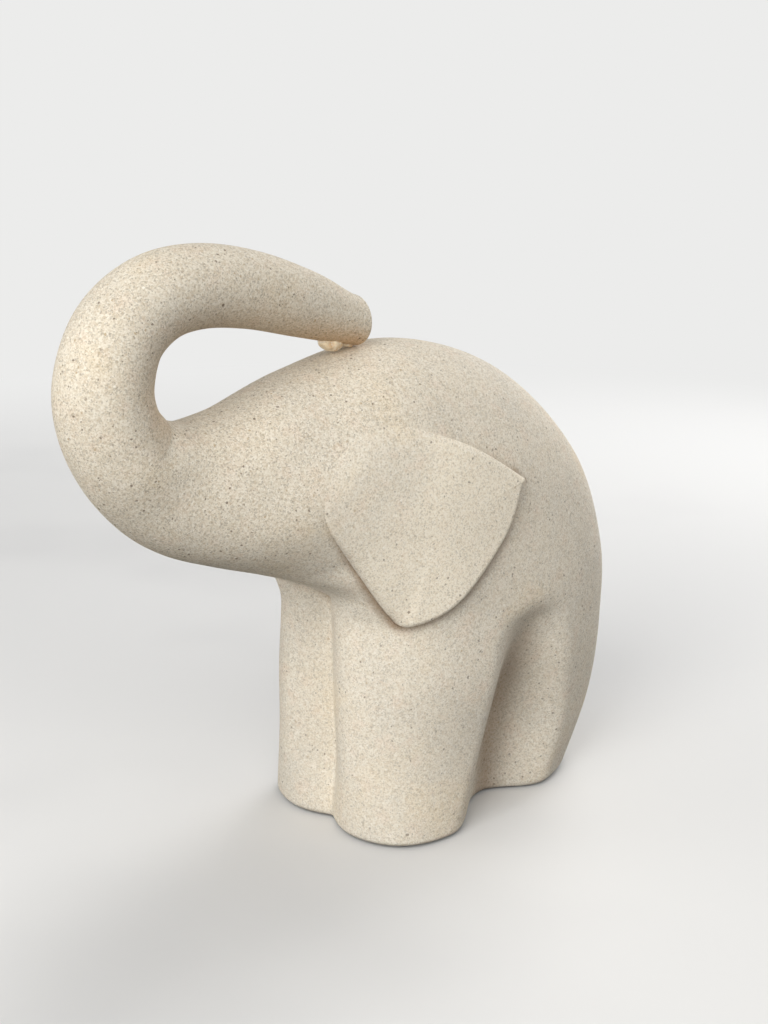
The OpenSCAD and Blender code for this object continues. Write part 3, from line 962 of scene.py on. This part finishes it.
@dataclass(frozen=True)
class Adhesive:
    """Cured adhesive: pale amber and glossy, with tiny bubbles and sand stuck to it."""

    name: str = "adhesive"
    base: Colour = colour(235, 217, 186)
    deep: Colour = colour(206, 164, 112)
    sand: Colour = colour(242, 234, 218)
    patch_size: float = 0.006
    grains: Grains = Grains(0.0008, 5.0, 0.04, 0.2, 0.4, 0.6, 1.0)
    sand_share: float = 0.6
    bubble_share: float = 0.5
    roughness: float = 0.32
    grain_roughness: float = 0.25
    coat: float = 0.25
    coat_roughness: float = 0.2
    bump: float = 0.5
    bump_depth: float = 0.0004

    def make(self) -> Material:
        """Returns the material."""
        material, n, shader, place = new_material(self.name)
        patches = effect(n, Effect.WEATHER, place, Size=self.patch_size)
        grain = self.grains.place(n, place)
        tone = n.blend(self.base, self.deep, patches["Warm"])
        tone = n.blend(tone, self.sand, n.times(grain["Light"], self.sand_share))
        tone = n.blend(tone, self.deep, n.times(grain["Tan"], self.bubble_share))
        rough = n.plus(n.times(grain["Height"], self.grain_roughness), self.roughness)
        n.fill(shader, Coat_Weight=self.coat, Coat_Roughness=self.coat_roughness)
        surface(n, shader, self, grain["Height"], Base_Color=tone, Roughness=rough)
        return material


@dataclass(frozen=True)
class Felt:
    """Dark grey pressed felt with tangled fibres."""

    name: str = "felt"
    base: Colour = colour(62, 62, 66)
    pale: Colour = colour(104, 103, 106)
    fibre_size: float = 0.0006
    fibre_share: float = 0.5
    tuft_share: float = 0.4
    roughness: float = 0.95
    sheen: float = 0.4
    sheen_roughness: float = 0.5
    bump: float = 0.7
    bump_depth: float = 0.0003

    def make(self) -> Material:
        """Returns the material."""
        material, n, shader, place = new_material(self.name)
        fibres = effect(n, Effect.FIBRES, place, Size=self.fibre_size)
        tone = n.blend(self.base, self.pale, n.times(fibres["Fibres"], self.fibre_share))
        tone = n.blend(tone, self.base, n.times(fibres["Tufts"], self.tuft_share))
        n.fill(shader, Sheen_Weight=self.sheen, Sheen_Roughness=self.sheen_roughness)
        surface(n, shader, self, fibres["Height"], Base_Color=tone, Roughness=self.roughness)
        return material


@dataclass(frozen=True)
class DrawnSteel:
    """Drawn steel rod for the hidden dowels and pins."""

    name: str = "drawn_steel"
    base: Colour = colour(176, 178, 182)
    dull: Colour = colour(128, 126, 124)
    line_size: float = 0.003
    dull_share: float = 0.7
    roughness: float = 0.22
    line_roughness: float = 0.3
    bump: float = 0.25
    bump_depth: float = 0.00005

    def make(self) -> Material:
        """Returns the material."""
        material, n, shader, place = new_material(self.name)
        drawn = effect(n, Effect.DRAWN_METAL, place, Size=self.line_size)
        tone = n.blend(self.base, self.dull, n.times(drawn["Dull"], self.dull_share))
        rough = n.plus(n.times(drawn["Lines"], self.line_roughness), self.roughness)
        surface(n, shader, self, drawn["Lines"], Base_Color=tone, Metallic=1.0, Roughness=rough)
        return material


class Part:
    """A piece that stands for one solid. The record's slot has the name of its finish."""

    node: ClassVar[str]
    finish: ClassVar[str]

    def dress(self, piece: Object, finishes: dict[str, Material]) -> None:
        """Gives a piece its finish and puts it in the place of its solid.

        Args:
            piece: the piece.
            finishes: the finishes by name.
        """
        node, slot = self.node, self.finish
        piece.data.materials.append(finishes[slot])
        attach(piece, BODY)
        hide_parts(node)
        log.info("%s: %d points", piece.name, len(piece.data.vertices))


# ---- castings


@dataclass
class BodyCasting(Part):
    """The casting of legs, body and head."""

    node = "body"
    finish = "sandstone"
    shape: BodyShape
    ear: EarShape
    around: int = 288
    rings: int = 320
    edge_steps: int = 8
    # the head's slightly darker stone, partly painted shade, comes in over these stations
    head_start: float = 4.2
    head_span: float = 3.0

    def build(self) -> Object:
        """Returns the body's mesh object."""
        shape = self.shape
        angles = ring_angles(self.around)
        first = shape.rows[1][1] - shape.felt_t
        a = quarter_turn(self.edge_steps)[:-1]
        edge_t = shape.foot_round * (1.0 - np.cos(a)) / first
        edge_in = shape.foot_round * (1.0 - np.sin(a))
        wall_t = np.linspace(shape.foot_round / first, shape.last, self.rings)
        t = np.concatenate([edge_t, wall_t])
        inset = np.concatenate([edge_in, np.zeros(self.rings)])
        points = shape.points(t, angles, inset).reshape(-1, 3)
        count, n = len(t), self.around
        faces = tube_faces(count, n)
        data = MeshData(
            points,
            faces,
            flat_faces=[len(faces) - 2, len(faces) - 1],
            normals=dict(enumerate(joint_normals(shape, angles), (count - 1) * n)),
            masks={
                # slightly darker stone towards the head, partly painted shade
                "shade": np.repeat(smooth((t - self.head_start) / self.head_span), n),
                # painted shadow beside the ear and painted shade in the flank's hollow
                "grime": np.maximum(self.ear.grime(points), shape.grime(t, angles).ravel()),
            },
        )
        return data.to_object("body_casting")


@dataclass
class TrunkCasting(Part):
    """The casting of the curled trunk."""

    node = "trunk"
    finish = "sandstone"
    shape: TrunkShape
    body: BodyShape
    around: int = 144
    rings: int = 240
    dome_steps: int = 10
    # warm darker tint on the trunk's underside, more of it near the tip
    stain: float = 0.25
    tip_stain: float = 0.45
    stain_run: float = 2.0
    stain_wrap: float = 0.1

    def build(self) -> Object:
        """Returns the trunk's mesh object."""
        shape = self.shape
        angles = ring_angles(self.around)
        t = np.linspace(0.0, shape.last, self.rings)
        walls = np.stack([t, np.zeros_like(t), np.ones_like(t)], axis=1)
        a = quarter_turn(self.dome_steps)[1:]
        flat = shape.tip_flat_d / 2.0 / shape.rows[-1][2]
        dome = np.stack(
            [np.full_like(a, shape.last), shape.tip_dome * np.sin(a), mix(flat, 1.0, np.cos(a))], axis=1
        )
        levels = np.concatenate([walls, dome])
        warm = self.warmth(levels, angles).ravel()
        faces = tube_faces(len(levels), self.around)
        data = MeshData(
            shape.rings(levels, angles).reshape(-1, 3),
            faces,
            flat_faces=[len(faces) - 2],
            normals=dict(enumerate(joint_normals(self.body, angles))),
            # the whole trunk gets the slightly darker stone, partly painted shade
            masks={"warm": warm, "shade": np.ones_like(warm)},
        )
        return data.to_object("trunk_casting")

    def warmth(self, levels: Array, angles: Array) -> Array:
        """Returns the warm darker tint under the trunk, stronger near its tip, at each point."""
        near_tip = smooth((levels[:, 0] - self.shape.last + self.stain_run) / self.stain_run)
        under = smooth((self.stain_wrap - np.cos(angles)) / (1.0 + self.stain_wrap))
        return (self.stain + self.tip_stain * near_tip)[:, None] * under[None, :]


class Side(Enum):
    """The elephant's own sides, with their sign along X."""

    LEFT = 1.0
    RIGHT = -1.0


@dataclass
class EarCasting(Part):
    """The casting of one ear, a thin shell that lies on the side of the head.

    The stone is paler where the ear stands out, over the pale height, partly as painted
    light. Its hidden inner wall is darkened towards the rim as painted shade where the ear
    meets the head, partly a dark seam line, which the two lists give as stations and the
    strength at each.
    """

    finish = "sandstone"
    shape: EarShape
    side: Side
    around: int = 320
    steps: int = 56
    edge_steps: int = 8
    pale_height: float = 3.0
    # painted shade on the inner wall where the rim meets the head, partly a dark seam line
    stain_share: float = 0.9
    stained: tuple[tuple[float, ...], tuple[float, ...]] = (
        (0.0, 1.0, 7.0, 8.0, 11.0),
        (0.5, 1.0, 1.0, 0.0, 0.0),
    )

    def __post_init__(self) -> None:
        """Keeps the name of the solid on the ear's side."""
        self.node = self.side.name.lower() + "_ear"

    def build(self) -> Object:
        """Returns the ear's mesh object."""
        shape = self.shape
        n = self.around
        edge = shape.edge(np.arange(n) / n)
        reach = np.linalg.norm(edge[:, :2] - shape.centre, axis=1)
        share = np.sin(quarter_turn(self.steps))[1:, None]
        inward = (shape.edge_round / reach)[None, :]
        a = quarter_turn(self.edge_steps)[1:]
        round_share = 1.0 - inward + inward * np.sin(a)[:, None]
        shares = np.concatenate([np.zeros((1, n)), share * (1.0 - inward), round_share])
        drop = np.concatenate([np.zeros(self.steps + 1), 1.0 - np.cos(a)])
        face = shape.face(edge, shares)
        places = face[..., :2]
        surface = shape.body.side_x(places)
        height = np.maximum(face[..., 2] - surface, 0.0)
        top = face[..., 2] - np.minimum(shape.edge_round, height) * drop[:, None]
        outer = np.concatenate([top[..., None], places], axis=-1)
        inner = np.concatenate([(surface - shape.sunk)[..., None], places], axis=-1)[::-1]
        rings = [outer[0, :1], outer[1:].reshape(-1, 3), inner[:-1].reshape(-1, 3), inner[-1, :1]]
        points = np.concatenate(rings)
        walls = len(drop) - 1
        last, final = 1 + (2 * walls - 1) * n, len(points) - 1
        faces: list[tuple[int, ...]] = [(0, 1 + (j + 1) % n, 1 + j) for j in range(n)]
        faces += ring_walls(2 * walls, n, 1)
        faces += [(final, last + j, last + (j + 1) % n) for j in range(n)]
        points *= (self.side.value, 1.0, 1.0)
        if self.side is Side.RIGHT:
            faces = [face[::-1] for face in faces]
        # painted shade towards the rim on the hidden inner wall, partly a dark seam line
        low = smooth(np.interp(np.arange(n) / n * len(shape.stations), *self.stained))
        stained = np.tile(self.stain_share * low, walls)
        grime = np.concatenate([np.zeros(1 + walls * n), stained, [0.0]])
        # paler where the ear stands out from the head, partly painted light
        pale = smooth((top - surface) / self.pale_height)
        pale = np.concatenate([pale[0, :1], pale[1:].ravel(), np.ones(walls * n + 1)])
        data = MeshData(points, faces, masks={"grime": grime, "pale": pale})
        return data.to_object(self.node + "_casting")


# ---- fixings


@dataclass
class TipBead(Part):
    """The bead of adhesive under the trunk's tip, thick in front and thin towards the end.

    It runs from start to end, counted in stations before the trunk's last one. The blob
    takes up the first share of that run, and the tail's thickness is a share of the
    blob's. The lumps are waves round and along the bead.
    """

    node = "tip_bead"
    finish = "adhesive"
    trunk: TrunkShape
    start: float = 0.56
    end: float = 0.01
    width: float = 9.5
    height: float = 7.5
    blob: float = 0.6
    tail: float = 0.34
    tail_rise: float = 6.0
    tail_power: int = 6
    end_share: float = 0.4
    blend_rings: int = 9
    lumps: float = 0.022
    waves: int = 16
    waves_round: tuple[int, int] = (1, 6)
    waves_along: tuple[int, int] = (2, 12)
    around: int = 96
    rings: int = 96
    seed: int = 4

    def build(self) -> Object:
        """Returns the bead's mesh object."""
        u = (np.arange(self.rings) + 0.5) / self.rings
        t = mix(self.trunk.last - self.start, self.trunk.last - self.end, u)
        row, out = self.trunk.row(t), self.trunk.outward(t)
        under = row[:, :2] - out * row[:, 2:]
        angles = ring_angles(self.around)
        blob = np.sqrt(np.clip(1.0 - (2.0 * u / self.blob - 1.0) ** 2, 0.0, 1.0))
        tail = self.tail * np.sqrt(1.0 - (2.0 * u - 1.0) ** self.tail_power)
        size = np.maximum(blob, tail * np.minimum(1.0, self.tail_rise * u))
        window = np.ones(self.blend_rings) / self.blend_rings
        size = np.convolve(np.pad(size, self.blend_rings // 2, mode="edge"), window, mode="valid")
        size[[0, -1]] *= self.end_share
        random = np.random.default_rng(self.seed)
        wobble = np.ones((self.rings, self.around))
        for _ in range(self.waves):
            m, k = random.integers(*self.waves_round), random.integers(*self.waves_along)
            phase = random.uniform(0.0, 2.0 * np.pi, 2)
            wobble += self.lumps * (
                np.cos(m * angles + phase[0])[None, :] * np.cos(k * np.pi * u + phase[1])[:, None]
            )
        reach = size[:, None] * wobble
        across = reach * np.sin(angles)[None, :] * self.width / 2.0
        rise = reach * np.cos(angles)[None, :] * self.height / 2.0
        side = under[:, None, :] + rise[..., None] * out[:, None, :]
        grid = np.concatenate([across[..., None], side], axis=-1)
        faces = tube_faces(self.rings, self.around)
        return MeshData(grid.reshape(-1, 3), faces).to_object("tip_adhesive")


@dataclass
class FeltPad(Part):
    """The felt sheet under the feet."""

    node = "base_felt"
    finish = "felt"
    body: BodyShape
    inset: float = 4.0
    around: int = 256
    edge_steps: int = 4
    edge_round: float = 0.4

    def build(self) -> Object:
        """Returns the pad's mesh object."""
        n = self.around
        a = quarter_turn(self.edge_steps)
        inward, rise = self.edge_round * (1.0 - np.sin(a)), self.edge_round * (1.0 - np.cos(a))
        draw_in = self.inset + self.body.foot_round + np.concatenate([inward, inward[::-1]])
        rings = self.body.points(np.zeros(len(draw_in)), ring_angles(n), draw_in)
        rings[..., 2] = np.concatenate([rise, self.body.felt_t - rise[::-1]])[:, None]
        faces = tube_faces(len(rings), n)
        data = MeshData(np.concatenate(rings), faces, flat_faces=[len(faces) - 2, len(faces) - 1])
        return data.to_object("felt_pad")


@dataclass
class HiddenSteel:
    """The steel dowels and pins inside the castings, kept as they are modelled."""

    kinds: Sequence[str] = ("_dowel_", "_pin_")

    def dress(self, nodes: dict[str, Object], finishes: dict[str, Material]) -> None:
        """Gives every dowel and pin its finish.

        Args:
            nodes: the frame's solids by name.
            finishes: the finishes by name.
        """
        steel = finishes["drawn_steel"]
        for name in (name for name in nodes if any(kind in name for kind in self.kinds)):
            solid = nodes[name]
            for slot in solid.material_slots:
                slot.material = steel
            if not solid.material_slots:
                solid.data.materials.append(steel)
            log.info("%s: drawn steel", name)


# ---- studio


class Tint(Enum):
    """The tints of the lamps."""

    WARM = (1.0, 0.995, 0.975)
    PLAIN = (1.0, 1.0, 1.0)


@dataclass(frozen=True)
class Lamp:
    """A soft lamp: its bearing and height in degrees, its power in watts and its tint."""

    name: str
    bearing: float
    height: float
    power: float
    tint: Tint


@dataclass
class Studio:
    """The pale floor, the soft lamps, the pale surroundings and the camera.

    Each lamp stands at its bearing and height round the aim, in degrees. The bearing
    starts at the camera and grows towards the elephant's front.
    """

    floor_size: float = 60.0
    floor_colour: Colour = colour(226, 225, 223)
    floor_bounce: Colour = colour(80, 79, 78)
    floor_roughness: float = 0.9
    floor_specular: float = 0.1
    floor_lines: int = 9
    paper_colour: Colour = colour(206, 205, 204)
    paper_size: float = 0.4
    paper_share: float = 0.5
    lit_floor: Pair = (0.45, 1.1)
    pale: Colour = colour(236, 236, 235)
    air_colour: Colour = colour(236, 240, 248)
    air_strength: float = 0.2
    aim: Place = (0.0, -0.05, 0.13)
    camera_bearing: float = -42.0
    reach: float = 1.6
    lamp_size: float = 1.0
    lamps: Sequence[Lamp] = (
        Lamp("key_lamp", 30.0, 10.0, 13.8, Tint.WARM),
        Lamp("front_lamp", 0.0, 40.0, 7.6, Tint.WARM),
        Lamp("front_fill", 30.0, 40.0, 7.9, Tint.WARM),
        Lamp("side_lamp", 90.0, 10.0, 5.4, Tint.WARM),
        Lamp("rear_lamp", 210.0, 40.0, 9.7, Tint.PLAIN),
        Lamp("low_rear_lamp", 210.0, 10.0, 10.1, Tint.PLAIN),
        Lamp("rear_fill", 240.0, 10.0, 3.2, Tint.PLAIN),
        Lamp("low_side_lamp", 300.0, 10.0, 5.6, Tint.WARM),
    )
    camera_place: Place = (0.4931, -0.4788, 0.331)
    camera_turn: Place = (74.0, 0.0, 48.0)
    lens: float = 54.14
    sensor: float = 36.0
    clip: Pair = (0.01, 100.0)

    def build_floor(self) -> None:
        """Makes the floor, which turns into plain pale light away from the figurine."""
        steps = np.linspace(-0.5, 0.5, self.floor_lines) * self.floor_size / MM
        x, y = np.meshgrid(steps, steps)
        points = np.stack([x.ravel(), y.ravel(), np.zeros(x.size)], axis=1)
        corner = np.arange(x.size).reshape(x.shape)
        around = (corner[:-1, :-1], corner[:-1, 1:], corner[1:, 1:], corner[1:, :-1])
        faces = [tuple(face) for face in np.stack(around, axis=-1).reshape(-1, 4).tolist()]
        floor = MeshData(points, faces).to_object("floor")
        material, n, shader, place = new_material("pale_floor")
        paper = effect(n, Effect.WEATHER, place, Size=self.paper_size)
        tone = n.blend(self.floor_colour, self.paper_colour, n.times(paper["Warm"], self.paper_share))
        seen = self.seen(n)
        tone = n.blend(self.floor_bounce, tone, seen)
        n.fill(shader, Base_Color=tone, Roughness=self.floor_roughness)
        n.fill(shader, Specular_IOR_Level=self.floor_specular)
        away = n.add("VectorMath", operation="LENGTH")
        n.put(away.inputs[0], place)
        far = n.times(n.ramp(away.outputs["Value"], *self.lit_floor), seen)
        glow = n.add("Emission", Color=self.pale, Strength=1.0)
        both = n.add("MixShader")
        for socket, value in zip(both.inputs, (far, shader.outputs[0], glow.outputs[0])):
            n.put(socket, value)
        n.fill(material.node_tree.nodes["Material Output"], Surface=both.outputs[0])
        floor.data.materials.append(material)

    @staticmethod
    def seen(n: Nodes) -> NodeSocket:
        """Returns 1 where the camera, a reflection or a clear piece looks, and 0 elsewhere."""
        path = n.add("LightPath").outputs
        seen = n.math("MAXIMUM", path["Is Camera Ray"], path["Is Glossy Ray"])
        return n.math("MAXIMUM", seen, path["Is Transmission Ray"])

    def build_air(self) -> None:
        """Makes the pale surroundings."""
        world = bpy.data.worlds.new("pale_air")
        world.use_nodes = True
        n = Nodes(world.node_tree)
        seen = self.seen(n)
        tone = n.blend(self.air_colour, self.pale, seen)
        strength = n.plus(n.times(seen, 1.0 - self.air_strength), self.air_strength)
        n.fill(world.node_tree.nodes["Background"], Color=tone, Strength=strength)
        bpy.context.scene.world = world

    def build_lamps(self) -> None:
        """Makes the lamps, each turned to the figurine."""
        aim = Vector(self.aim)
        for lamp in self.lamps:
            turn, rise = math.radians(self.camera_bearing - lamp.bearing), math.radians(lamp.height)
            level = math.cos(rise)
            toward = Vector((level * math.cos(turn), level * math.sin(turn), math.sin(rise)))
            light = bpy.data.lights.new(lamp.name, "AREA")
            light.shape, light.size = "DISK", self.lamp_size
            light.energy, light.color = lamp.power, lamp.tint.value
            holder = bpy.data.objects.new(lamp.name, light)
            holder.location = aim + toward * self.reach
            holder.rotation_euler = (-toward).to_track_quat("-Z", "Y").to_euler()
            bpy.context.scene.collection.objects.link(holder)

    def build_camera(self) -> None:
        """Makes the camera."""
        data = bpy.data.cameras.new("camera")
        data.lens, data.sensor_width, data.sensor_fit = self.lens, self.sensor, "AUTO"
        data.clip_start, data.clip_end = self.clip
        camera = bpy.data.objects.new("camera", data)
        camera.location = self.camera_place
        camera.rotation_euler = tuple(math.radians(a) for a in self.camera_turn)
        bpy.context.scene.collection.objects.link(camera)
        bpy.context.scene.camera = camera

    def build(self) -> None:
        """Makes the whole studio."""
        self.build_floor()
        self.build_air()
        self.build_lamps()
        self.build_camera()
        bpy.context.scene.view_settings.view_transform = "Standard"
        log.info("studio: %d lamps", len(self.lamps))


def main() -> None:
    """Builds the figurine piece by piece and sets the studio round it."""
    logging.basicConfig(level=logging.INFO, format="%(name)s: %(message)s")
    looks = (Sandstone(), Adhesive(), Felt(), DrawnSteel())
    finishes = {look.name: look.make() for look in looks}
    trunk = TrunkShape()
    body = BodyShape(trunk)
    ear = EarShape(body)
    for part in (
        BodyCasting(body, ear),
        TrunkCasting(trunk, body),
        EarCasting(ear, Side.LEFT),
        EarCasting(ear, Side.RIGHT),
        TipBead(trunk),
        FeltPad(body),
    ):
        part.dress(part.build(), finishes)
    HiddenSteel().dress(frame["nodes"], finishes)
    Studio().build()


if __name__ == "__main__":
    main()
